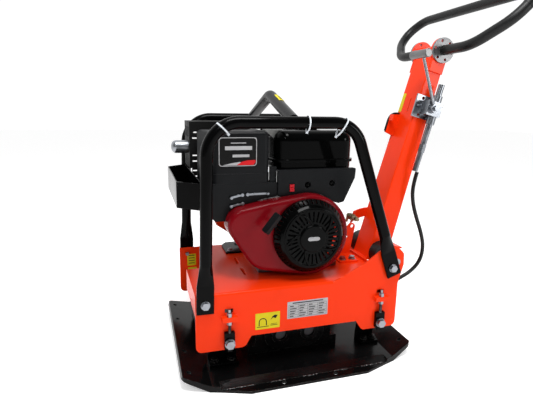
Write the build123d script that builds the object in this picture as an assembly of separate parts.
from build123d import *
import math
import os

# Reversible plate compactor, millimetres. +X runs from the front of the machine to its operator,
# +Z is up, and the recoil starter faces -Y. The origin is the centre of the base plate on the ground.

# ---- driving dimensions -------------------------------------------------------------------------

# Base plate
PLATE_HALF_LENGTH = 368.0
PLATE_HALF_FLAT = 291.0
PLATE_HALF_WIDTH = 285.0
PLATE_END_HALF_WIDTH = 253.0
PLATE_THICKNESS = 18.0
PLATE_END_RISE = 33.0
EXTENSION_HALF_WIDTH = 313.0
EXTENSION_HALF_LENGTH = 181.0
EXTENSION_THICKNESS = 8.0
BEVEL_INNER_Y = 258.0
MAT_HOLE_X = 344.0
MAT_HOLE_YS = (107.0, 222.0)
MAT_HOLE_RADIUS = 6.5
EXTENSION_HOLE_X = 81.0
EXTENSION_HOLE_Y = 298.0

# Folded console that carries the engine
SKIRT_Y = 222.0
SHEET = 5.0
BEND_RADIUS = 8.0
CONSOLE_FRONT_X = -321.0
DECK_TOP = 266.0
DECK_REAR_X = 280.0
CHEEK_BOLT = (312.0, 309.0)
FOOT_BOTTOM = 92.0
NOTCH_TOP = 125.0
BOLT_HOLE_RADIUS = 6.6

# Rubber mounts and the screws that tension the belt by raising the console
MOUNT_X = (-226.0, 260.0)
MOUNT_Z = 116.0
BLOCK_BOTTOM = 99.0
BLOCK_TOP = 149.0
ADJUSTER_NUT_Z = (206.0, 211.0)
RUBBER_RADIUS = 34.0
ADJUSTER_OFFSET = 8.5
FOOT_SPANS = ((-278.0, -190.0), (222.0, 284.0))
FOOT_BOLTS = ((-261.0, -210.0), (241.0, 272.0))

# Tubular cage
TUBE_RADIUS = 16.85
CAGE_Y = 236.0
CAGE_FRONT_FOOT = (-294.0, 241.0)
CAGE_REAR_FOOT = (292.0, 294.5)
CAGE_TOP_Z = 740.0
CAGE_FRONT_TOP_X = -284.0
CAGE_REAR_TOP_X = 131.0
CAGE_BEND_RADIUS = 88.0
PAD_GAP = 3.0
EYE_X = -46.0
EYE_APEX_Z = 818.0

# Exciter: two counter-rotating eccentric shafts along Y
SHAFT_X = 48.0
SHAFT_Z = 80.0
SHAFT_RADIUS = 17.5
HOUSING_HALF_Y = 150.0
GEAR_TEETH = 24
GEAR_MODULE = 4.0

# Engine
CRANK_X = 32.0
CRANK_Z = 402.0
CRANK_RADIUS = 12.7
CYLINDER_X = 40.0
CYLINDER_TILT = -65.0
RECOIL_FACE_Y = -203.0
RECOIL_FRONT_RADIUS = 99.0
RECOIL_REAR_RADIUS = 113.0
BELT_Y = 250.0
CLUTCH_RADIUS = 70.0
EXCITER_PULLEY_RADIUS = 52.0

# Handle: built upright about its pivot, then leaned back
PIVOT_X = 353.0
PIVOT_Z = 283.0
HANDLE_LEAN = 14.8
HEAD_U = 713.6
BAR_HALF_WIDTH = 50.0
BAR_WALL = 4.0
PIVOT_BOLT_RADIUS = 10.0
RUNNING_FIT = 0.08
LUG_Y = 92.0
LOOP_TILT = 48.0
LOOP_HALF_WIDTH = 288.0
LOOP_DEPTH = 205.0
LOOP_RADIUS = 16.0
LOCK_RADIUS = 124.0
LOCK_REST_ANGLE = 30.2
BARREL_RADIUS = 9.0
DISC_HOLE_RADIUS = 4.8

# Direction pump on the handle and its hose
PUMP_U = 519.0
PUMP_Y = -78.0
PUMP_V = 22.0
LEVER_V = 4.0
HOSE_DIAMETER = 13.0
HOSE_ROUTE = [
    (462, -78, 570),
    (449, -78, 521),
    (454, -79, 464),
    (474, -80, 408),
    (498, -81, 353),
    (514, -80, 299),
    (508, -78, 246),
    (475, -76, 208),
    (426, -74, 182),
    (371, -72, 162),
    (315, -70, 143),
    (259, -70, 128),
    (205, -70, 118),
]

# ---- helpers ------------------------------------------------------------------------------------


def box(x0, x1, y0, y1, z0, z1):
    """Axis-aligned block between two corners."""
    block = Box(x1 - x0, y1 - y0, z1 - z0)
    return Pos((x0 + x1) / 2, (y0 + y1) / 2, (z0 + z1) / 2) * block


def rod_y(x, z, radius, y0, y1):
    return Pos(x, (y0 + y1) / 2, z) * Rot(90, 0, 0) * Cylinder(radius, abs(y1 - y0))


def rod_z(x, y, radius, z0, z1):
    return Pos(x, y, (z0 + z1) / 2) * Cylinder(radius, abs(z1 - z0))


def rod_x(y, z, radius, x0, x1):
    return Pos((x0 + x1) / 2, y, z) * Rot(0, 90, 0) * Cylinder(radius, abs(x1 - x0))


def ring_y(x, z, outer, inner, y0, y1):
    return rod_y(x, z, outer, y0, y1) - rod_y(x, z, inner, min(y0, y1) - 1, max(y0, y1) + 1)


def side_plane(y):
    """Sketch plane whose axes are X and Z; extrusion runs towards -Y."""
    return Plane(origin=(0, y, 0), x_dir=(1, 0, 0), z_dir=(0, -1, 0))


def side_face(points, rounding=0.0):
    face = make_face(Polyline(*points, close=True))
    if rounding:
        face = fillet(face.vertices(), rounding)
    return face


def prism_y(points, y0, y1, rounding=0.0):
    """Outline in X and Z, extruded between two Y values."""
    return extrude(side_plane(y1) * side_face(points, rounding), y1 - y0)


def prism_z(points, z0, z1, rounding=0.0):
    face = make_face(Polyline(*points, close=True))
    if rounding:
        face = fillet(face.vertices(), rounding)
    return extrude(Plane.XY.offset(z0) * face, z1 - z0)


def circle_hull(circles):
    """Face bounded by the tightest outline round several circles, each (x, z, radius)."""
    edges = []
    for x, z, radius in circles:
        edges += (Pos(x, z) * Circle(radius)).edges()
    return make_face(make_hull(edges))


def hex_bolt_y(x, z, y_seat, direction, across=18.0, shank=6.0, length=20.0, washer=12.5):
    """Hex bolt with a washer: the head stands off y_seat along direction, the shank goes the other way."""
    y_head = y_seat + direction * 2.0
    head = extrude(side_plane(0) * RegularPolygon(across / math.sqrt(3), 6), 7.5)
    head = Pos(x, max(y_head, y_head + direction * 7.5), z) * head
    washer_disc = rod_y(x, z, washer, y_seat, y_head)
    stem = rod_y(x, z, shank, y_seat, y_seat - direction * length)
    return head + washer_disc + stem


def hex_bolt_z(x, y, z_seat, across=18.0, shank=6.0, length=16.0, washer=12.5):
    head = Pos(x, y, z_seat + 2) * extrude(RegularPolygon(across / math.sqrt(3), 6), 7.5)
    return head + rod_z(x, y, washer, z_seat, z_seat + 2) + rod_z(x, y, shank, z_seat - length, z_seat)


def arc_radii(points, share=0.45):
    """Corner radii of a route: share of the shorter run over the tangent of half the turn."""
    radii = []
    for before, corner, after in zip(points, points[1:], points[2:]):
        run_in = Vector(*corner) - Vector(*before)
        run_out = Vector(*after) - Vector(*corner)
        half_turn = math.radians(run_in.get_angle(run_out)) / 2
        radii.append(share * min(run_in.length, run_out.length) / math.tan(half_turn))
    return radii


def pipe(path, outer, inner=0.0):
    """Round bar or tube swept along a path."""
    start = Plane(origin=path @ 0, z_dir=path % 0)
    solid = sweep(start * Circle(outer), path=path)
    if inner:
        solid -= sweep(start * Circle(inner), path=path)
    return solid


def solids_of(*shapes):
    """Several separate solids as one compound."""
    found = []
    for shape in shapes:
        found += shape.solids()
    return Compound(children=found)


HANDLE = Pos(PIVOT_X, 0, PIVOT_Z) * Rot(0, HANDLE_LEAN, 0)
CYLINDER = Pos(CYLINDER_X, 0, CRANK_Z) * Rot(0, CYLINDER_TILT, 0)
SIDES = (-1, 1)

# ---- base plate ---------------------------------------------------------------------------------


def base_plate():
    tip = PLATE_HALF_LENGTH
    bend = PLATE_HALF_FLAT
    half = [(bend, 0), (tip, PLATE_END_RISE), (tip - 4, PLATE_END_RISE + 11), (bend - 6, PLATE_THICKNESS)]
    section = half + [(-x, z) for x, z in reversed(half)]
    plate = prism_y(section, -PLATE_HALF_WIDTH, PLATE_HALF_WIDTH)
    corner = [(tip, PLATE_END_HALF_WIDTH), (262, PLATE_HALF_WIDTH)]
    outline = corner + [(-x, y) for x, y in reversed(corner)]
    outline += [(-x, -y) for x, y in corner] + [(x, -y) for x, y in reversed(corner)]
    plate &= prism_z(outline, -5, 60, rounding=24)
    for side in SIDES:
        wedge = [(BEVEL_INNER_Y, PLATE_THICKNESS), (PLATE_HALF_WIDTH + 2, EXTENSION_THICKNESS - 1)]
        wedge += [(PLATE_HALF_WIDTH + 2, PLATE_THICKNESS + 5), (BEVEL_INNER_Y, PLATE_THICKNESS + 5)]
        face = make_face(Polyline(*[(side * y, z) for y, z in wedge], close=True))
        plate -= extrude(Plane.YZ.offset(-262) * face, 524)
    for sx in SIDES:
        for sy in SIDES:
            for y in MAT_HOLE_YS:
                plate -= rod_z(sx * MAT_HOLE_X, sy * y, MAT_HOLE_RADIUS, -5, 60)
    return plate


def side_extensions():
    plates = []
    for side in SIDES:
        outline = [(-262, PLATE_HALF_WIDTH), (-EXTENSION_HALF_LENGTH, EXTENSION_HALF_WIDTH)]
        outline += [(EXTENSION_HALF_LENGTH, EXTENSION_HALF_WIDTH), (262, PLATE_HALF_WIDTH)]
        plate = prism_z([(x, side * y) for x, y in outline], 0, EXTENSION_THICKNESS)
        for x in (-EXTENSION_HOLE_X, EXTENSION_HOLE_X):
            plate -= rod_z(x, side * EXTENSION_HOLE_Y, MAT_HOLE_RADIUS, -1, EXTENSION_THICKNESS + 1)
        plates.append(plate)
    return solids_of(*plates)


# ---- exciter ------------------------------------------------------------------------------------

HOUSING_WALL = 12.0
BORE_RADIUS = 42.0
PORT_Y = -70.0
PORT_Z = 110.0


def exciter_housing():
    outer = prism_y([(-128, 18), (128, 18), (128, 122), (104, 146), (-104, 146), (-128, 122)],
                    -HOUSING_HALF_Y, HOUSING_HALF_Y, rounding=8)
    for y0, y1 in ((-HOUSING_HALF_Y, -HOUSING_HALF_Y + 14), (HOUSING_HALF_Y - 14, HOUSING_HALF_Y)):
        outer += box(-150, 150, y0, y1, PLATE_THICKNESS, 46)
    inner = prism_y([(-116, 24), (116, 24), (116, 117), (99, 134), (-99, 134), (-116, 117)],
                    -HOUSING_HALF_Y + HOUSING_WALL, HOUSING_HALF_Y - HOUSING_WALL)
    body = outer - inner
    for sx in SIDES:
        body -= rod_y(sx * SHAFT_X, SHAFT_Z, BORE_RADIUS, -HOUSING_HALF_Y - 1, HOUSING_HALF_Y + 1)
    port = rod_x(PORT_Y, PORT_Z, 14, 108, 142) - inner
    return body + port - rod_x(PORT_Y, PORT_Z, 6, 100, 143)


def exciter_covers():
    """End covers that close the housing and seal the shafts."""
    covers = []
    for side in SIDES:
        y0 = side * HOUSING_HALF_Y
        y1 = side * (HOUSING_HALF_Y + 10)
        face = circle_hull([(-SHAFT_X, SHAFT_Z, 52), (SHAFT_X, SHAFT_Z, 52)])
        cover = extrude(side_plane(max(y0, y1)) * face, 10)
        cover += rod_y(-SHAFT_X, SHAFT_Z, 30, y1, y1 + side * 6)
        cover += rod_y(SHAFT_X, SHAFT_Z, 30, y1, y1 + side * 6)
        for x in (-SHAFT_X, SHAFT_X):
            cover -= rod_y(x, SHAFT_Z, SHAFT_RADIUS + 0.5, y0 - side, y1 + side * 7)
        covers.append(cover)
    return solids_of(*covers)


def exciter_bearings():
    rings = []
    for sx in SIDES:
        for side in SIDES:
            y0 = side * (HOUSING_HALF_Y - 28)
            y1 = side * HOUSING_HALF_Y
            rings.append(ring_y(sx * SHAFT_X, SHAFT_Z, BORE_RADIUS, SHAFT_RADIUS + RUNNING_FIT, y0, y1))
    return solids_of(*rings)


def eccentric_shaft(sx, rear_end):
    """Shaft with a half-round weight; the two weights point the same way at rest."""
    x = sx * SHAFT_X
    shaft = rod_y(x, SHAFT_Z, SHAFT_RADIUS, -HOUSING_HALF_Y - 8, rear_end)
    weight = rod_y(x, SHAFT_Z, 40, -85, 80) - box(x - 50, x + 50, -90, 90, SHAFT_Z, SHAFT_Z + 60)
    return shaft + weight


def timing_gear(sx, phase):
    """Spur gear; the teeth have straight flanks and a little backlash."""
    pitch = GEAR_TEETH * GEAR_MODULE / 2
    root = pitch - 1.25 * GEAR_MODULE
    tip = pitch + 0.95 * GEAR_MODULE
    outline = []
    for index in range(GEAR_TEETH):
        middle = 2 * math.pi / GEAR_TEETH * (index + phase)
        for radius, half in ((root, -4.0), (pitch, -2.7), (tip, -1.0), (tip, 1.0), (pitch, 2.7), (root, 4.0)):
            turn = middle + half / radius
            outline.append((SHAFT_X * sx + radius * math.cos(turn), SHAFT_Z + radius * math.sin(turn)))
    gear = prism_y(outline, 92, 116)
    return gear - rod_y(SHAFT_X * sx, SHAFT_Z, SHAFT_RADIUS, 90, 118)


def v_pulley(x, z, radius, y_mid, width=26.0, hub=22.0, bore=12.7):
    """One-groove pulley for a 17 mm V-belt."""
    wheel = ring_y(x, z, radius, bore, y_mid - width / 2, y_mid + width / 2)
    groove = Polygon((radius + 1, -9.3), (radius + 1, 9.3), (radius - 14, 6.0), (radius - 14, -6.0),
                     align=None)
    ring = revolve(Plane.XY * groove, Axis.Y)
    return wheel - Pos(x, y_mid, z) * ring


def exciter_pulley():
    pulley = v_pulley(SHAFT_X, SHAFT_Z, EXCITER_PULLEY_RADIUS, BELT_Y, bore=SHAFT_RADIUS)
    for angle in range(0, 360, 72):
        x = SHAFT_X + 30 * math.cos(math.radians(angle))
        z = SHAFT_Z + 30 * math.sin(math.radians(angle))
        pulley -= rod_y(x, z, 6, BELT_Y - 20, BELT_Y + 20)
    return pulley


def v_belt():
    """V-belt round the clutch pulley and the exciter pulley, with 0.3 mm to each flank."""
    drive = (CRANK_X, CRANK_Z, CLUTCH_RADIUS)
    driven = (SHAFT_X, SHAFT_Z, EXCITER_PULLEY_RADIUS)
    outer = circle_hull([(x, z, r - 0.5) for x, z, r in (drive, driven)])
    inner = circle_hull([(x, z, r - 12) for x, z, r in (drive, driven)])
    return extrude(side_plane(BELT_Y + 6) * (outer - inner), 12)


# ---- rubber mounts, brackets and adjusters ------------------------------------------------------


def mount_brackets():
    """Upright plates bolted to the base plate, one behind each rubber mount."""
    brackets = []
    for side in SIDES:
        for x, (foot_x0, foot_x1), bolts in zip(MOUNT_X, FOOT_SPANS, FOOT_BOLTS):
            upright = [(foot_x0, 18), (foot_x1, 18), (foot_x1, 40), (x + 34, 70), (x + 34, 148),
                       (x - 34, 148), (x - 34, 70), (foot_x0, 40)]
            plate = prism_y(upright, 144, 154)
            foot = box(foot_x0, foot_x1, 154, 192, 18, 28)
            for bolt_x in bolts:
                foot -= rod_z(bolt_x, 172, 6.2, 10, 40)
            bracket = plate + foot - rod_y(x, MOUNT_Z, 8.2, 140, 160)
            brackets.append(bracket if side > 0 else mirror(bracket, Plane.XZ))
    return solids_of(*brackets)


def rubber_mounts():
    mounts = []
    for side in SIDES:
        for x in MOUNT_X:
            waist = rod_y(x, MOUNT_Z, RUBBER_RADIUS, side * 154, side * 209)
            groove = ring_y(x, MOUNT_Z, RUBBER_RADIUS + 5, RUBBER_RADIUS - 4, side * 172, side * 191)
            mounts.append(waist - groove)
    return solids_of(*mounts)


def mount_bolt(x, side):
    """Big bolt and flat washer outside the skirt, on a rubber mount's stud."""
    stud = rod_y(x, MOUNT_Z, 8, side * 209, side * 234)
    washer = rod_y(x, MOUNT_Z, 15, side * 234, side * 237)
    head = extrude(side_plane(0) * RegularPolygon(13.5, 6), 10)
    return stud + washer + Pos(x, max(side * 237, side * 247), MOUNT_Z) * head


def adjuster_blocks():
    """Black sliding blocks: each takes a mount bolt and hangs on a tension screw."""
    blocks = []
    for side in SIDES:
        for x in MOUNT_X:
            block = box(x - 15, x + 15, SKIRT_Y, SKIRT_Y + 12, BLOCK_BOTTOM, BLOCK_TOP)
            stub = box(x - 5, x + 9, SKIRT_Y, SKIRT_Y + 7, BLOCK_BOTTOM - 12, BLOCK_BOTTOM)
            shape = block + stub - rod_y(x, MOUNT_Z, 8.1, SKIRT_Y - 1, SKIRT_Y + 13)
            blocks.append(shape if side > 0 else mirror(shape, Plane.XZ))
    return solids_of(*blocks)


def adjuster_screws():
    """Vertical threaded rods, with a nut above and below the pressed-out lug."""
    screws = []
    for side in SIDES:
        for x, nut_z in zip(MOUNT_X, ADJUSTER_NUT_Z):
            y = side * (SKIRT_Y + ADJUSTER_OFFSET)
            screw = rod_z(x, y, 4.0, BLOCK_TOP, nut_z + 14)
            for z0, height in ((nut_z - 8, 12), (nut_z - 32, 10)):
                screw += Pos(x, y, z0) * extrude(RegularPolygon(8, 6), height)
            screws.append(screw)
    return solids_of(*screws)


# ---- console ------------------------------------------------------------------------------------


def skirt_outline():
    """Side of the console: two feet with a notch between them, and the cheek that rises at the rear."""
    points = [(-321, FOOT_BOTTOM), (-178, FOOT_BOTTOM), (-159, NOTCH_TOP), (181, NOTCH_TOP)]
    points += [(202, FOOT_BOTTOM), (321, FOOT_BOTTOM), (321, 238), (338, 300), (336, 336), (310, 362)]
    points += [(283, 361), (249, 349), (199, 313), (100, DECK_TOP), (-321, DECK_TOP)]
    return points


def rounded_skirt():
    face = make_face(Polyline(*skirt_outline(), close=True))
    feet = face.vertices().filter_by(lambda v: v.Y < FOOT_BOTTOM + 1)
    face = fillet(feet, 18)
    cheek = face.vertices().filter_by(lambda v: v.X > 300 and v.Y > 330)
    return fillet(cheek, 14)


def bend_waste():
    """What the bends between the deck and the two skirts leave out of a sharp corner."""
    y, z = SKIRT_Y - BEND_RADIUS, DECK_TOP - BEND_RADIUS
    corner = box(CONSOLE_FRONT_X - 1, 98, y, SKIRT_Y + 1, z, DECK_TOP + 1)
    corner -= rod_x(y, z, BEND_RADIUS, CONSOLE_FRONT_X - 2, 99)
    return corner + mirror(corner, Plane.XZ)


def console():
    shell = None
    for side in SIDES:
        y_outer = side * SKIRT_Y
        skirt = extrude(side_plane(max(y_outer, y_outer - side * SHEET)) * rounded_skirt(), SHEET)
        for x, nut_z in zip(MOUNT_X, ADJUSTER_NUT_Z):
            y0, y1 = sorted((y_outer - side * 6, y_outer + side))
            skirt -= box(x - 9, x + 9, y0, y1, 88, 130)
            skirt -= box(x - 12, x + 12, y0, y1, nut_z - 1, nut_z + 12)
            y0, y1 = sorted((y_outer - side * SHEET, y_outer + side * 17))
            lug = box(x - 22, x + 22, y0, y1, nut_z - 22, nut_z - 8)
            skirt += lug - rod_z(x, side * (SKIRT_Y + ADJUSTER_OFFSET), 4.6, nut_z - 30, nut_z)
        for x, z in (CAGE_FRONT_FOOT, CAGE_REAR_FOOT, CHEEK_BOLT):
            skirt -= rod_y(x, z, BOLT_HOLE_RADIUS, y_outer - side * 8, y_outer + side * 8)
        shell = skirt if shell is None else shell + skirt
    deck = box(CONSOLE_FRONT_X, DECK_REAR_X, -SKIRT_Y, SKIRT_Y, DECK_TOP - SHEET, DECK_TOP)
    deck -= box(CONSOLE_FRONT_X - 1, -240, -10, SKIRT_Y - SHEET, DECK_TOP - 10, DECK_TOP + 10)
    front = box(CONSOLE_FRONT_X, CONSOLE_FRONT_X + SHEET, -SKIRT_Y, -10, 200, DECK_TOP)
    rear_lip = box(DECK_REAR_X - SHEET, DECK_REAR_X, -SKIRT_Y, SKIRT_Y, DECK_TOP - SHEET, DECK_TOP + 10)
    for y0, y1 in ((2, 60), (-100, -44)):
        deck -= box(-153, -143, y0, y1, DECK_TOP - 10, DECK_TOP + 1)
    for x, y in LOCK_BRACKET_BOLTS + ENGINE_BOLTS:
        deck -= rod_z(x, y, 6.2, DECK_TOP - 10, DECK_TOP + 1)
    return shell + deck + front + rear_lip - bend_waste()


# ---- cage, lifting eye, tray --------------------------------------------------------------------


def cage_tube(side):
    """U-shaped tube with flattened feet bolted outside the console."""
    y = side * CAGE_Y
    top_front = Vector(CAGE_FRONT_TOP_X, 0, CAGE_TOP_Z)
    top_rear = Vector(CAGE_REAR_TOP_X, 0, CAGE_TOP_Z)
    feet = [Vector(x, 0, z) for x, z in (CAGE_FRONT_FOOT, CAGE_REAR_FOOT)]
    starts = []
    solid = None
    for foot, top in zip(feet, (top_front, top_rear)):
        along = (top - foot).normalized()
        round_start = foot + along * 118
        starts.append(Vector(round_start.X, y, round_start.Z))
        flat_y = side * (SKIRT_Y + PAD_GAP + 4)
        base = foot - along * 27
        across = Vector(along.Z, 0, -along.X)
        pad_plane = Plane(origin=(base.X, flat_y, base.Z), x_dir=tuple(across), z_dir=tuple(along))
        pad = extrude(pad_plane * RectangleRounded(49, 8, 3), 82)
        neck_foot = foot + along * 55
        low = Plane(origin=(neck_foot.X, flat_y, neck_foot.Z), x_dir=tuple(across), z_dir=tuple(along))
        high = Plane(origin=(round_start.X, y, round_start.Z), x_dir=tuple(across), z_dir=tuple(along))
        neck = loft([low * RectangleRounded(49, 8, 3), high * Circle(TUBE_RADIUS)])
        spacer = rod_y(foot.X, foot.Z, 12, side * SKIRT_Y, side * (SKIRT_Y + PAD_GAP + 1))
        drilled = pad + spacer - rod_y(foot.X, foot.Z, BOLT_HOLE_RADIUS, flat_y - 10, flat_y + 10)
        solid = drilled + neck if solid is None else solid + drilled + neck
    route = [starts[0], Vector(top_front.X, y, top_front.Z), Vector(top_rear.X, y, top_rear.Z), starts[1]]
    path = FilletPolyline(*route, radius=CAGE_BEND_RADIUS)
    return solid + pipe(path, TUBE_RADIUS)


def lifting_eye():
    """Shallow inverted V welded between the two cage tubes, where a crane hook lifts the machine."""
    start_y = CAGE_Y - TUBE_RADIUS + 1.5
    slope = (EYE_APEX_Z - CAGE_TOP_Z) / CAGE_Y
    low_z = EYE_APEX_Z - slope * start_y
    corners = [(EYE_X, -start_y, low_z), (EYE_X, 0, EYE_APEX_Z), (EYE_X, start_y, low_z)]
    path = FilletPolyline(*corners, radius=60)
    bar = pipe(path, TUBE_RADIUS)
    for side in SIDES:
        bar -= rod_x(side * CAGE_Y, CAGE_TOP_Z, TUBE_RADIUS, EYE_X - 40, EYE_X + 40)
    return bar


TRAY_TOP = 578.0
TRAY_DEPTH = 73.0


def tray_outline(inset=0.0):
    return [(-358 + inset, -160 + inset), (-293 - inset, -214 + 1.6 * inset), (-293 - inset, 214 - 1.6 * inset),
            (-358 + inset, 160 - inset)]


def tool_tray():
    """Open-top sheet box between the front legs of the cage, with a lug to each leg."""
    tray = prism_z(tray_outline(), TRAY_TOP - TRAY_DEPTH, TRAY_TOP)
    tray -= prism_z(tray_outline(2.5), TRAY_TOP - TRAY_DEPTH + 2.5, TRAY_TOP + 1)
    for side in SIDES:
        y0, y1 = sorted((side * 206, side * 218.5))
        tray += box(-302, -293, y0, y1, TRAY_TOP - TRAY_DEPTH - 12, TRAY_TOP - TRAY_DEPTH + 2)
    return tray


# ---- belt guard and locking bracket -------------------------------------------------------------


def guard_outline(inset=0.0):
    return circle_hull([(CRANK_X, CRANK_Z, 92 - inset), (SHAFT_X, SHAFT_Z + 4, 65 - inset)])


def belt_guard():
    """Cover over the belt and both pulleys, on a back plate bolted to the far skirt."""
    y0, y1 = SKIRT_Y, 290.0
    cover = extrude(side_plane(y1) * guard_outline(), y1 - y0)
    cover -= extrude(side_plane(y1 - 3) * guard_outline(3), y1 - y0 - 6)
    cover += prism_y([(-190, 362), (-182, 343), (-132, 308), (-60, 290), (-30, 290), (-30, 362)], y0, y0 + 3)
    cover -= rod_y(CRANK_X, CRANK_Z, 66, y0 - 1, y0 + 3.5)
    return cover - rod_y(SHAFT_X, SHAFT_Z, 36, y0 - 1, y0 + 3.5)


LOCK_BRACKET_BOLTS = [(205.0, -62.0), (240.0, -62.0)]
LOCK_PLATE_Y = (-6.0, 0.0)


def lock_pin_place(angle):
    """Where the locking pin stands when it is angle degrees ahead of vertical over the pivot."""
    turn = math.radians(angle)
    return PIVOT_X - LOCK_RADIUS * math.sin(turn), PIVOT_Z + LOCK_RADIUS * math.cos(turn)


UPRIGHT_ANGLE = LOCK_REST_ANGLE + HANDLE_LEAN


def lock_bracket():
    """Angle bracket on the deck; the pin drops into its hole when the handle stands upright."""
    y0, y1 = LOCK_PLATE_Y
    hole_x, hole_z = lock_pin_place(UPRIGHT_ANGLE)
    corners = [(hole_x - 2, hole_z - 1, 13), (230, 335, 13), (200, DECK_TOP + 4, 4), (256, DECK_TOP + 4, 4)]
    upright = extrude(side_plane(y1) * circle_hull(corners), y1 - y0)
    foot = box(186, 256, -82, y1, DECK_TOP, DECK_TOP + 6)
    for x, y in LOCK_BRACKET_BOLTS:
        foot -= rod_z(x, y, 6.2, DECK_TOP - 5, DECK_TOP + 10)
    return upright + foot - rod_y(hole_x, hole_z, 6.4, y0 - 5, y1 + 5) - rod_y(246, 332, 4.5, y0 - 5, y1 + 5)


# ---- engine -------------------------------------------------------------------------------------

ENGINE_BOLTS = [(-84.0, -72.0), (-84.0, 88.0), (147.0, -72.0), (147.0, 88.0)]


CASE_OUTLINE = [(-56, 280), (118, 280), (126, 304), (146, 340), (140, 430), (104, 478), (-20, 478),
                (-56, 440)]


def crankcase():
    case = extrude(side_plane(140) * side_face(CASE_OUTLINE, 10), 236)
    case += box(-104, 164, -95, 112, DECK_TOP, DECK_TOP + 16)
    cavity = prism_y([(-46, 292), (108, 292), (116, 312), (134, 344), (130, 424), (98, 466), (-14, 466),
                      (-46, 432)], -84, 128, rounding=8)
    case = case - cavity
    case += ring_y(CRANK_X, CRANK_Z, 52, 30, -106, -84)
    case += ring_y(CRANK_X, CRANK_Z, 62, 30, 128, 156)
    case -= rod_y(CRANK_X, CRANK_Z, 24.1, -120, 170)
    case += ring_y(CRANK_X, CRANK_Z, 30, CRANK_RADIUS + RUNNING_FIT, -106, -84)
    case += ring_y(CRANK_X, CRANK_Z, 30, CRANK_RADIUS + RUNNING_FIT, 128, 156)
    case -= CYLINDER * rod_z(0, 20, 44, 60, 110)
    for x, y in ENGINE_BOLTS:
        case -= rod_z(x, y, 6.2, DECK_TOP - 1, DECK_TOP + 20)
    return case


def cylinder_head():
    """Finned barrel, head and rocker cover, tilted towards the front of the machine."""
    barrel = box(-54, 54, -40, 80, 100, 205)
    for index in range(8):
        z0 = 112 + index * 12
        barrel += box(-66, 66, -52, 92, z0, z0 + 4)
    head = box(-54, 54, -46, 86, 205, 244)
    rocker = box(-40, 40, -36, 76, 244, 278)
    whole = barrel + head + rocker - rod_z(0, 20, 42, 90, 206)
    return CYLINDER * (whole - box(-120, 120, -120, 120, 0, 100)) - crankcase_envelope()


def crankcase_envelope():
    """Slightly larger block round the crankcase, to cut the barrel's seat."""
    return extrude(side_plane(141) * side_face(CASE_OUTLINE, 10), 238) + box(-57, 0, -97, 141, 280, 440)


def crankshaft():
    shaft = rod_y(CRANK_X, CRANK_Z, CRANK_RADIUS, -176, 268)
    web = [(-20, 342), (20, 342), (26, 372), (16, 426), (-16, 426), (-26, 372)]
    for y0 in (-20, 42):
        shaft += prism_y([(CRANK_X + dx, z) for dx, z in web], y0, y0 + 18)
    shaft += rod_y(CRANK_X, CRANK_Z - 22, 16, -20, 60)
    return shaft


def flywheel():
    wheel = ring_y(CRANK_X, CRANK_Z, 100, CRANK_RADIUS, -138, -110)
    wheel -= ring_y(CRANK_X, CRANK_Z, 86, 40, -128, -105)
    for index in range(16):
        blade = box(60, 98, -158, -138, -1.6, 1.6)
        wheel += Pos(CRANK_X, 0, CRANK_Z) * Rot(0, 360 / 16 * index, 0) * blade
    return wheel


def clutch_shoes():
    """Hub and three centrifugal shoes, fixed to the crankshaft's output end."""
    hub = ring_y(CRANK_X, CRANK_Z, 24, CRANK_RADIUS, 240, 264)
    for index in range(3):
        arc = extrude(side_plane(262) * (Circle(46) - Circle(34)), 20)
        gap = Rot(0, 120 * index, 0) * box(20, 60, 230, 280, -5, 5)
        sector = Rot(0, 120 * index + 60, 0) * box(0, 60, 230, 280, -38, 38)
        hub += Pos(CRANK_X, 0, CRANK_Z) * (arc & sector - gap)
        hub += Pos(CRANK_X, 0, CRANK_Z) * Rot(0, 120 * index + 60, 0) * box(20, 36, 246, 258, -5, 5)
    return hub


def clutch_pulley():
    """Clutch drum with the drive groove round its rim, running on the crankshaft."""
    drum = v_pulley(CRANK_X, CRANK_Z, CLUTCH_RADIUS, BELT_Y, width=26, bore=48)
    web = ring_y(CRANK_X, CRANK_Z, 50, CRANK_RADIUS + RUNNING_FIT, 226, 237)
    return drum + web


SHROUD_CIRCLES = [(40.0, 397.0, 127.0), (-88.0, 374.0, 78.0), (-165.0, 442.0, 50.0), (-70.0, 468.0, 42.0)]


def shroud_face(inset=0.0):
    return circle_hull([(x, z, radius - inset) for x, z, radius in SHROUD_CIRCLES])


def blower_housing():
    """Pressed fan housing: leads air from the flywheel to the cylinder."""
    outer = extrude(side_plane(-100) * shroud_face(), 66)
    front = outer.faces().sort_by(Axis.Y)[0]
    outer = fillet(front.edges(), 14)
    inner = extrude(side_plane(-99) * shroud_face(3), 64)
    inner = fillet(inner.faces().sort_by(Axis.Y)[0].edges(), 11)
    return outer - inner - rod_y(CRANK_X, CRANK_Z, 96, -180, -150)


def shroud_clearance():
    """Space that the fan housing needs in the plastic panels behind it."""
    return extrude(side_plane(-90) * shroud_face(-0.6), 80)


def recoil_dish(wall):
    """Solid of revolution of the starter cover, thinner by wall all round."""
    face = RECOIL_FACE_Y + wall
    front = RECOIL_FRONT_RADIUS - wall
    rear = RECOIL_REAR_RADIUS - wall
    profile = Polygon((0, face), (front - 6, face), (front, face + 6), (rear, -180), (rear, -166.3),
                      (0, -166.3), align=None)
    return Pos(CRANK_X, 0, CRANK_Z) * revolve(Plane.XY * profile, Axis.Y)


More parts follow.
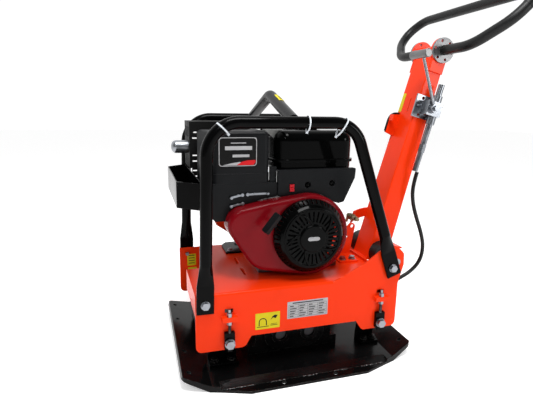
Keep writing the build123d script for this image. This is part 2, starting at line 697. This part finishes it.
def recoil_cover():
    """Starter cover: a stepped dish with air slots in its face and its flank, and a domed hub."""
    cup = recoil_dish(0) - recoil_dish(4) - rod_y(CRANK_X, CRANK_Z, RECOIL_REAR_RADIUS - 4, -170, -160)
    slot = Pos(65, 0) * SlotOverall(32, 4.5)
    cuts = Sketch()
    for index in range(32):
        cuts += Rot(0, 0, 360 / 32 * index) * slot
    cup -= Pos(CRANK_X, 0, CRANK_Z) * extrude(side_plane(RECOIL_FACE_Y + 6) * cuts, 12)
    flank_slots = []
    for index in range(48):
        turned = Rot(0, 7.5 * index, 0) * box(92, 120, -193, -176, -1.7, 1.7)
        flank_slots.append(Pos(CRANK_X, 0, CRANK_Z) * turned)
    cup = cup.cut(*flank_slots)
    cup += ring_y(CRANK_X, CRANK_Z, 89, 84, RECOIL_FACE_Y - 2.5, RECOIL_FACE_Y + 1)
    hub = rod_y(CRANK_X, CRANK_Z, 42, RECOIL_FACE_Y - 7, RECOIL_FACE_Y + 4)
    cup += fillet(hub.edges().group_by(Axis.Y)[0], 5)
    return cup + rod_y(CRANK_X, CRANK_Z, 8, RECOIL_FACE_Y + 3, RECOIL_FACE_Y + 25)


def recoil_pulley():
    """Rope drum of the starter, turning on the cover's post."""
    drum = ring_y(CRANK_X, CRANK_Z, 60, 8 + RUNNING_FIT, -196, -180)
    return drum - ring_y(CRANK_X, CRANK_Z, 64, 52, -192, -184)


GRIP_AT = (-93.0, -204.0, 453.0)
PULL_AXIS = (-0.66, -0.55, 0.52)


def starter_grip():
    """Bar of the pull handle, square to the rope, with its neck."""
    frame = Plane(origin=GRIP_AT, x_dir=(0.63, 0.0, 0.8), z_dir=PULL_AXIS)
    bar = extrude(frame * RectangleRounded(66, 20, 5), 16, both=False)
    neck = extrude(frame * Circle(6), -12)
    return bar + neck


def air_cleaner_outline(inset=0.0):
    return [(-250 + inset, -118 + inset), (-78 - inset, -118 + inset), (-78 - inset, 18 - inset),
            (-268 + inset, 18 - inset), (-282 + inset, -8)]


AIR_TOP = 711.0
AIR_BOTTOM = 560.0
AIR_STEP = 588.0


def air_cleaner_cover():
    cover = prism_z(air_cleaner_outline(1.5), AIR_STEP, AIR_TOP, rounding=16)
    cover = fillet(cover.faces().sort_by(Axis.Z)[-1].edges(), 12)
    cover += prism_z(air_cleaner_outline(), AIR_BOTTOM, AIR_STEP, rounding=17)
    cavity = prism_z(air_cleaner_outline(4.5), AIR_BOTTOM - 1, AIR_TOP - 4, rounding=12)
    return cover - fillet(cavity.faces().sort_by(Axis.Z)[-1].edges(), 9)


INTAKE_OUTLINE = [(-270, 559.6), (-54, 559.6), (-54, 516), (-104, 510), (-160, 486), (-206, 447), (-244, 447),
                  (-268, 470)]


def intake_housing():
    """Black lower housing under the air cleaner: holds the carburettor and the levers."""
    outer = prism_y(INTAKE_OUTLINE, -118, -98.5, rounding=6)
    tray = box(-262, -70, -98.5, -56, 552, 559.6)
    web = box(-262, -252, -98.5, 10, 480, 552)
    upright = box(-76, -56, -112, -99, 552, 606)
    return outer + tray + web + upright - shroud_clearance()


def carburettor():
    body = box(-196, -150, -95, -50, 512, 551.5)
    bowl = rod_z(-173, -73, 20, 482, 512)
    return body + bowl


TANK_X = (-55.0, 207.0)
TANK_Y = (-108.0, 165.0)
TANK_TOP = 712.0
TANK_SEAM = 620.0
TANK_BOTTOM = 586.0


def tank_plan(margin=0.0):
    x0, x1 = TANK_X
    y0, y1 = TANK_Y
    return [(x0 - margin, y0 - margin), (x1 + margin, y0 - margin), (x1 + margin, y1 + margin),
            (x0 - margin, y1 + margin)]


CAP_AT = (88.0, 5.0)


def fuel_tank():
    """Two pressed halves joined at a flange, with the filler neck on top."""
    upper = prism_z(tank_plan(-3), TANK_SEAM, TANK_TOP, rounding=38)
    upper = fillet(upper.faces().sort_by(Axis.Z)[-1].edges(), 32)
    lower = prism_z(tank_plan(-3), TANK_BOTTOM, TANK_SEAM, rounding=38)
    lower = fillet(lower.faces().sort_by(Axis.Z)[0].edges(), 14)
    flange = prism_z(tank_plan(3.5), TANK_SEAM - 5, TANK_SEAM + 4, rounding=44)
    neck = rod_z(*CAP_AT, 30, TANK_TOP, TANK_TOP + 11)
    hollow = prism_z(tank_plan(-7), TANK_BOTTOM + 4, TANK_TOP - 4, rounding=34)
    hollow = fillet(hollow.faces().sort_by(Axis.Z)[-1].edges(), 28)
    hollow = fillet(hollow.faces().sort_by(Axis.Z)[0].edges(), 10)
    return upper + lower + flange + neck - hollow - rod_z(*CAP_AT, 26, TANK_TOP - 10, TANK_TOP + 16)


def fuel_cap():
    cap = rod_z(*CAP_AT, 42, TANK_TOP + 4, TANK_TOP + 24)
    cap = fillet(cap.edges().group_by(Axis.Z)[-1], 5)
    cap -= rod_z(*CAP_AT, 30.3, TANK_TOP, TANK_TOP + 16)
    for index in range(12):
        turn = math.radians(30 * index)
        cap -= rod_z(CAP_AT[0] + 44 * math.cos(turn), CAP_AT[1] + 44 * math.sin(turn), 5, TANK_TOP,
                     TANK_TOP + 30)
    return cap


SWITCH_AT = (-10.0, 541.0)
SWITCH_PIVOT_Y = -118.0
PANEL_SCREWS = ((42.0, 548.0), (123.0, 551.0))


def tank_panel():
    """Moulded front panel under the tank, with the stop switch let into it."""
    outline = [(-54, 597), (203, 597), (201, 566), (166, 490), (148, 486), (122, 494), (60, 511), (-16, 516),
               (-54, 516)]
    panel = prism_y(outline, -124, -107, rounding=5)
    x, z = SWITCH_AT
    panel -= box(x - 7.3, x + 7.3, -130, -109.5, z - 12.8, z + 12.8)
    panel -= rod_x(SWITCH_PIVOT_Y, z, 2.5 + RUNNING_FIT, x - 10, x + 10)
    for x, z in PANEL_SCREWS:
        panel -= rod_y(x, z, 10, -125, -118)
    return panel - shroud_clearance()


def stop_switch():
    x, z = SWITCH_AT
    rocker = box(x - 7, x + 7, -127, -112, z - 11, z + 11) - rod_x(-133, z, 7.5, x - 10, x + 10)
    return rocker + rod_x(SWITCH_PIVOT_Y, z, 2.5, x - 9.5, x + 9.5)


def lever(x, z, length, angle, y, knob):
    """Flat lever on a pivot stud, along angle in the XZ plane, with a knob at its end."""
    arm = box(0, length, y - 3, y, -3, 3)
    stud = rod_y(0, 0, 5, y - 5, y + 1.6)
    tip = rod_y(length, 0, knob, y - 9, y)
    return Pos(x, 0, z) * Rot(0, -angle, 0) * (arm + stud + tip)


LEVER_FACE_Y = -120.0


def choke_lever():
    return lever(-164, 525.5, 34, 192, LEVER_FACE_Y, 4.5)


def fuel_lever():
    return lever(-163, 499, 35, 190, LEVER_FACE_Y, 4.5)


def throttle_lever():
    return lever(-148, 526, 62, 1, LEVER_FACE_Y, 3.5)


def muffler():
    body = prism_z([(-262, 34), (-96, 34), (-96, 150), (-262, 150)], 566, 716, rounding=22)
    body = fillet(body.faces().sort_by(Axis.Z)[-1].edges(), 10)
    flange = box(-170, -120, 60, 110, 557, 566)
    return body + flange


def muffler_guard():
    """Slotted heat shield that wraps the front and top of the muffler."""
    outer = box(-298, -110, 28, 156, 588, 733)
    shield = outer - box(-295, -109, 31, 157, 587, 730)
    shield += box(-291, -240, 28, 31, 546, 590)
    for index in range(6):
        y0 = 42 + index * 18
        shield -= box(-300, -294, y0, y0 + 8, 590, 628)
        shield -= box(-300, -294, y0, y0 + 8, 684, 716)
        shield -= box(-280, -130, y0, y0 + 8, 729, 735)
    for z in (560, 578, 608, 626, 680, 698):
        shield -= box(-289, -266, 27, 32, z, z + 4)
    return shield - rod_x(76, 652, 23, -300, -290)


def exhaust_pipe():
    tail = rod_x(76, 652, 20.5, -350, -262)
    tail = fillet(tail.edges().group_by(Axis.X)[0], 15)
    return tail - rod_x(76, 652, 17, -334, -261) - rod_x(76, 652, 6, -351, -333)


# ---- handle -------------------------------------------------------------------------------------


def bar_section(u, margin=0.0):
    """Half depth of the tapered bar at height u above the pivot."""
    return 39.0 - 13.5 * u / HEAD_U - margin


BAR_BOTTOM_U = -36.0
BAR_TOP_U = 692.0


def tapered_block(u0, u1, margin):
    """Block that follows the bar's taper; X is the bar's depth before the lean is applied."""
    outline = [(-bar_section(u0, margin), u0), (bar_section(u0, margin), u0)]
    outline += [(bar_section(u1, margin), u1), (-bar_section(u1, margin), u1)]
    return prism_y(outline, -BAR_HALF_WIDTH + margin, BAR_HALF_WIDTH - margin)


def handle_bar():
    """Folded box bar with its pivot sleeve, foot plate, lock arm, hose hook and head discs."""
    bar = tapered_block(BAR_BOTTOM_U, BAR_TOP_U, 0)
    bar = fillet(bar.edges().filter_by(lambda e: abs(e.length - 728) < 4), 3.5)
    bar -= tapered_block(BAR_BOTTOM_U + BAR_WALL, BAR_TOP_U - BAR_WALL, BAR_WALL)
    bar += box(-53, 52, -46, 46, BAR_BOTTOM_U, BAR_BOTTOM_U + 5)
    bar += box(30, 62, -84, 84, 34, 39) - tapered_block(BAR_BOTTOM_U + 1, BAR_TOP_U - 1, 1)
    bar += rod_y(0, 0, 18, -46.5, 46.5)
    bar -= rod_y(0, 0, PIVOT_BOLT_RADIUS + RUNNING_FIT, -60, 60)
    lock_x, lock_u = lock_axis()
    arm = extrude(side_plane(BAR_HALF_WIDTH) * (Circle(LOCK_RADIUS + 16) - Circle(LOCK_RADIUS - 16)), 6)
    arm &= box(lock_x, 0, 30, 60, 60, 150)
    arm -= tapered_block(BAR_BOTTOM_U + 1, BAR_TOP_U - 1, 1)
    bar += arm - rod_y(lock_x, lock_u, BARREL_RADIUS, 10, 60)
    hook = [(-20, 489), (-40, 489), (-58, 480), (-66, 464), (-66, 414), (-20, 406)]
    lip = box(-66, -62, 10, 34, 456, 478)
    bar += prism_y(hook, 34, 38) + lip - tapered_block(BAR_BOTTOM_U + 1, BAR_TOP_U - 1, 1)
    bar -= box(-40, -20, -8, -4, 498, 545)
    bar += ring_y(0, HEAD_U, 20, 10, -BAR_HALF_WIDTH, BAR_HALF_WIDTH)
    for side in SIDES:
        y0, y1 = sorted((side * BAR_HALF_WIDTH, side * (BAR_HALF_WIDTH + 6)))
        disc = rod_y(0, HEAD_U, 41, y0, y1)
        tongue = box(-26, 26, y0, y1, 640, 700)
        disc += tongue
        for angle in range(0, 360, 60):
            x = 31 * math.cos(math.radians(angle))
            z = HEAD_U + 31 * math.sin(math.radians(angle))
            disc -= rod_y(x, z, DISC_HOLE_RADIUS, y0 - 1, y1 + 1)
        bar += disc
    for u, v in PUMP_PLATE_BOLTS:
        bar -= rod_y(v, u, 5.2, -60, -40)
    return HANDLE * bar


def handle_crossbeam():
    """Box beam bolted between the console's cheeks, with two lugs that hold the pivot."""
    beam = box(226, 276, -SKIRT_Y + SHEET, SKIRT_Y - SHEET, 196, 252)
    beam -= box(230, 272, -SKIRT_Y - 1, SKIRT_Y + 1, 200, 248)
    for side in SIDES:
        y0, y1 = sorted((side * LUG_Y, side * (LUG_Y + 8)))
        lug = prism_y([(276, 200), (330, 216), (376, 262), (376, 290), (360, 304), (340, 304), (276, 250)],
                      y0, y1, rounding=6)
        beam += lug - rod_y(PIVOT_X, PIVOT_Z, PIVOT_BOLT_RADIUS + RUNNING_FIT, y0 - 1, y1 + 1)
        y0, y1 = sorted((side * (SKIRT_Y - SHEET), side * (SKIRT_Y - SHEET - 8)))
        tab = prism_y([(268, 196), (300, 196), (328, 300), (322, 324), (302, 324), (283, 268), (281, 258),
                       (268, 240)], y0, y1)
        for bolt in (CHEEK_BOLT, CAGE_REAR_FOOT):
            tab -= rod_y(*bolt, BOLT_HOLE_RADIUS, y0 - 1, y1 + 1)
        beam += tab
    return beam


def handle_bushes():
    """Rubber discs each side of the bar that damp the handle."""
    bushes = []
    for side in SIDES:
        y0, y1 = sorted((side * (BAR_HALF_WIDTH + 0.4), side * LUG_Y))
        bushes.append(ring_y(PIVOT_X, PIVOT_Z, 41, PIVOT_BOLT_RADIUS + RUNNING_FIT, y0, y1))
    return solids_of(*bushes)


def handle_pivot_bolt():
    bolt = rod_y(PIVOT_X, PIVOT_Z, PIVOT_BOLT_RADIUS, -LUG_Y - 12, LUG_Y + 12)
    for y in (-LUG_Y - 8, LUG_Y + 20):
        bolt += extrude(side_plane(0) * RegularPolygon(17, 6), 12).moved(Location((PIVOT_X, y, PIVOT_Z)))
    return bolt


def lock_axis():
    """Depth and height of the locking pin in the upright handle."""
    turn = math.radians(LOCK_REST_ANGLE + HANDLE_LEAN)
    return -LOCK_RADIUS * math.sin(turn), LOCK_RADIUS * math.cos(turn)


def plunger_barrel():
    """Threaded barrel in the arm that guides the locking pin, with a hexagon each side of the arm."""
    x, u = lock_axis()
    barrel = rod_y(x, u, BARREL_RADIUS, 16, 56)
    for y in (44, 56):
        barrel += Pos(x, y, u) * extrude(side_plane(0) * RegularPolygon(13.5, 6), 6)
    return HANDLE * (barrel - rod_y(x, u, 6 + RUNNING_FIT, 10, 60))


def locking_pin():
    """Spring plunger's pin, with its lift lever."""
    x, u = lock_axis()
    pin = rod_y(x, u, 6, 1.5, 80) + rod_y(x, u, 9, 68, 74)
    return HANDLE * (pin + box(x - 4, x + 4, 74, 80, u - 26, u + 6))


HEAD = HANDLE * Pos(0, 0, HEAD_U)


def loop_path():
    """Handlebar centre line: out of each head disc, round to the rear cross bar."""
    tilt = math.radians(LOOP_TILT)
    centre = HEAD.position

    def place(y, reach):
        return (centre.X + reach * math.cos(tilt), y, centre.Z + reach * math.sin(tilt))

    side = [(63, 0), (185, 0), (LOOP_HALF_WIDTH, 95), (LOOP_HALF_WIDTH, LOOP_DEPTH)]
    route = [place(-y, reach) for y, reach in side] + [place(y, reach) for y, reach in reversed(side)]
    return FilletPolyline(*route, radius=LOOP_CORNER_RADII)


LOOP_CORNER_RADII = [105, 110, 74, 74, 110, 105]


def handlebar_tube():
    """Zinc-plated end flanges and the steel tube inside the rubber."""
    tube = pipe(loop_path(), 11, 8)
    centre = HEAD.position
    for side in SIDES:
        y0, y1 = sorted((side * 56.4, side * 63))
        disc = rod_y(0, 0, 41, y0, y1)
        for angle in range(0, 360, 60):
            x = 31 * math.cos(math.radians(angle))
            z = 31 * math.sin(math.radians(angle))
            disc -= rod_y(x, z, DISC_HOLE_RADIUS, y0 - 1, y1 + 1)
        disc = Rot(0, HANDLE_LEAN, 0) * disc
        tube += Pos(centre.X, 0, centre.Z) * disc
    return tube


def handlebar_grip():
    """Rubber sleeve over the whole loop."""
    return pipe(loop_path(), LOOP_RADIUS, 11)


# ---- direction pump -----------------------------------------------------------------------------

PUMP_PLATE_BOLTS = [(492.0, -16.0), (548.0, -16.0)]
PINION_SHAFT_RADIUS = 9.0
PINION_RADIUS = 12.2


def pump_body():
    """Side plate, valve body, rack cylinder and hose union of the direction pump."""
    plate = box(-40, 33, -56, -50, 482, 558)
    for u, v in PUMP_PLATE_BOLTS:
        plate -= rod_y(v, u, 5.2, -60, -48)
    flange = rod_y(LEVER_V, PUMP_U, 28, -66, -56)
    block = box(LEVER_V - 20, PUMP_V + 16, -96, -66, PUMP_U - 24, PUMP_U + 24)
    cylinder = rod_z(PUMP_V, PUMP_Y, 15, PUMP_U - 50, PUMP_U + 46)
    upper = rod_z(PUMP_V, PUMP_Y, 10, PUMP_U + 46, PUMP_U + 84)
    lower = rod_z(PUMP_V, PUMP_Y, 10, 398, PUMP_U - 50)
    union = Pos(PUMP_V, PUMP_Y, 372) * extrude(RegularPolygon(12, 6), 26)
    body = plate + flange + block + cylinder + upper + lower + union
    body -= rod_z(PUMP_V, PUMP_Y, 7.5, 410, PUMP_U + 78)
    body -= rod_y(LEVER_V, PUMP_U, PINION_SHAFT_RADIUS + RUNNING_FIT, -110, -62)
    body -= rod_y(LEVER_V, PUMP_U, PINION_RADIUS + 0.3, -86.5, -69.5)
    body += ferrule()
    return HANDLE * body


def ferrule():
    """Crimped hose end below the union."""
    return rod_z(PUMP_V, PUMP_Y, 9.0, 306, 372)


def pump_piston():
    """Piston that the lever drives up and down its cylinder."""
    piston = rod_z(PUMP_V, PUMP_Y, 7.4, PUMP_U - 62, PUMP_U + 40)
    flat = LEVER_V + PINION_RADIUS + 0.3
    piston -= box(0, flat, -100, -50, PUMP_U - 20, PUMP_U + 20)
    return HANDLE * piston


LEVER_TIP = (-98.6, 667.0)
LEVER_Y = -102.0


def lever_span():
    return LEVER_TIP[0] - LEVER_V, LEVER_TIP[1] - PUMP_U


def direction_lever():
    """Pinion shaft, hub and rod of the forward and reverse lever."""
    shaft = rod_y(LEVER_V, PUMP_U, PINION_SHAFT_RADIUS, -118, -62.5)
    shaft += rod_y(LEVER_V, PUMP_U, PINION_RADIUS, -86, -70)
    hub = rod_y(LEVER_V, PUMP_U, 15, -110, -96.5)
    dv, du = lever_span()
    length = math.hypot(dv, du)
    angle = math.degrees(math.atan2(dv, du))
    rod = Pos(LEVER_V, LEVER_Y, PUMP_U) * Rot(0, angle, 0) * Pos(0, 0, length / 2) * Cylinder(5, length)
    return HANDLE * (shaft + hub + rod - grip_envelope())


def grip_envelope():
    return rod_y(LEVER_TIP[0], LEVER_TIP[1], 13.5, -132, -46)


def lever_grip():
    grip = grip_envelope()
    grip = fillet(grip.edges(), 3)
    return HANDLE * grip


def pressure_hose():
    path = FilletPolyline(*HOSE_ROUTE, radius=arc_radii(HOSE_ROUTE))
    return pipe(path, HOSE_DIAMETER / 2)


def hose_fitting():
    """Angled union between the exciter's oil port and the hose."""
    end = Vector(*HOSE_ROUTE[-1])
    along = (Vector(*HOSE_ROUTE[-2]) - end).normalized()
    bend_x = end.X - (end.Z - PORT_Z) * along.X / along.Z
    path = FilletPolyline((142, PORT_Y, PORT_Z), (bend_x, PORT_Y, PORT_Z), tuple(end), radius=30)
    nut = Plane(origin=tuple(end - along * 16), x_dir=(0, 1, 0), z_dir=tuple(along))
    return pipe(path, 7, 3) + extrude(nut * (RegularPolygon(11, 6) - Circle(3)), 14)


# ---- fasteners ----------------------------------------------------------------------------------


def hex_bolts():
    """Bolts of the rubber mounts, bracket feet, lock bracket, engine, cage feet and cross beam."""
    bolts = []
    for side in SIDES:
        for x in MOUNT_X:
            bolts.append(mount_bolt(x, side))
        for x in FOOT_BOLTS[0] + FOOT_BOLTS[1]:
            bolts.append(hex_bolt_z(x, side * 172, 28, length=10))
        for x, z in (CAGE_FRONT_FOOT, CAGE_REAR_FOOT):
            seat = side * (SKIRT_Y + PAD_GAP + 8)
            bolts.append(hex_bolt_y(x, z, seat, side, across=20, shank=6, length=25, washer=13))
        pin = rod_y(*CHEEK_BOLT, 11.5, side * SKIRT_Y, side * (SKIRT_Y + 2.5))
        bolts.append(pin + rod_y(*CHEEK_BOLT, 6, side * SKIRT_Y, side * (SKIRT_Y - 18)))
    for x, y in LOCK_BRACKET_BOLTS:
        bolts.append(hex_bolt_z(x, y, DECK_TOP + 6))
    for x, y in ENGINE_BOLTS:
        bolts.append(hex_bolt_z(x, y, DECK_TOP + 16, length=26))
    return solids_of(*bolts)


# ---- write every node ---------------------------------------------------------------------------

NODES = {
    "base_plate": base_plate,
    "side_extensions": side_extensions,
    "exciter_housing": exciter_housing,
    "exciter_covers": exciter_covers,
    "exciter_bearings": exciter_bearings,
    "front_eccentric_shaft": lambda: eccentric_shaft(-1, HOUSING_HALF_Y + 8),
    "rear_eccentric_shaft": lambda: eccentric_shaft(1, 272),
    "front_timing_gear": lambda: timing_gear(-1, 0),
    "rear_timing_gear": lambda: timing_gear(1, 0.5),
    "exciter_pulley": exciter_pulley,
    "v_belt": v_belt,
    "mount_brackets": mount_brackets,
    "rubber_mounts": rubber_mounts,
    "adjuster_blocks": adjuster_blocks,
    "adjuster_screws": adjuster_screws,
    "console": console,
    "cage_tube_near": lambda: cage_tube(-1),
    "cage_tube_far": lambda: cage_tube(1),
    "lifting_eye": lifting_eye,
    "tool_tray": tool_tray,
    "belt_guard": belt_guard,
    "lock_bracket": lock_bracket,
    "hex_bolts": hex_bolts,
    "crankcase": crankcase,
    "cylinder_head": cylinder_head,
    "crankshaft": crankshaft,
    "flywheel": flywheel,
    "clutch_shoes": clutch_shoes,
    "clutch_pulley": clutch_pulley,
    "blower_housing": blower_housing,
    "recoil_cover": recoil_cover,
    "recoil_pulley": recoil_pulley,
    "starter_grip": starter_grip,
    "air_cleaner_cover": air_cleaner_cover,
    "intake_housing": intake_housing,
    "carburettor": carburettor,
    "fuel_tank": fuel_tank,
    "fuel_cap": fuel_cap,
    "tank_panel": tank_panel,
    "stop_switch": stop_switch,
    "choke_lever": choke_lever,
    "fuel_lever": fuel_lever,
    "throttle_lever": throttle_lever,
    "muffler": muffler,
    "muffler_guard": muffler_guard,
    "exhaust_pipe": exhaust_pipe,
    "handle_crossbeam": handle_crossbeam,
    "handle_bushes": handle_bushes,
    "handle_pivot_bolt": handle_pivot_bolt,
    "handle_bar": handle_bar,
    "plunger_barrel": plunger_barrel,
    "locking_pin": locking_pin,
    "handlebar_tube": handlebar_tube,
    "handlebar_grip": handlebar_grip,
    "pump_body": pump_body,
    "pump_piston": pump_piston,
    "direction_lever": direction_lever,
    "lever_grip": lever_grip,
    "pressure_hose": pressure_hose,
    "hose_fitting": hose_fitting,
}

os.makedirs("parts", exist_ok=True)
for node, make in NODES.items():
    shape = make()
    export_step(shape, f"parts/{node}.step")

route_radii = [round(radius, 1) for radius in arc_radii(HOSE_ROUTE)]
print("hose arc radii", route_radii)
hose_path = FilletPolyline(*HOSE_ROUTE, radius=arc_radii(HOSE_ROUTE))
print("hose length", round(hose_path.length, 1), "section times length",
      round(math.pi * (HOSE_DIAMETER / 2) ** 2 * hose_path.length))
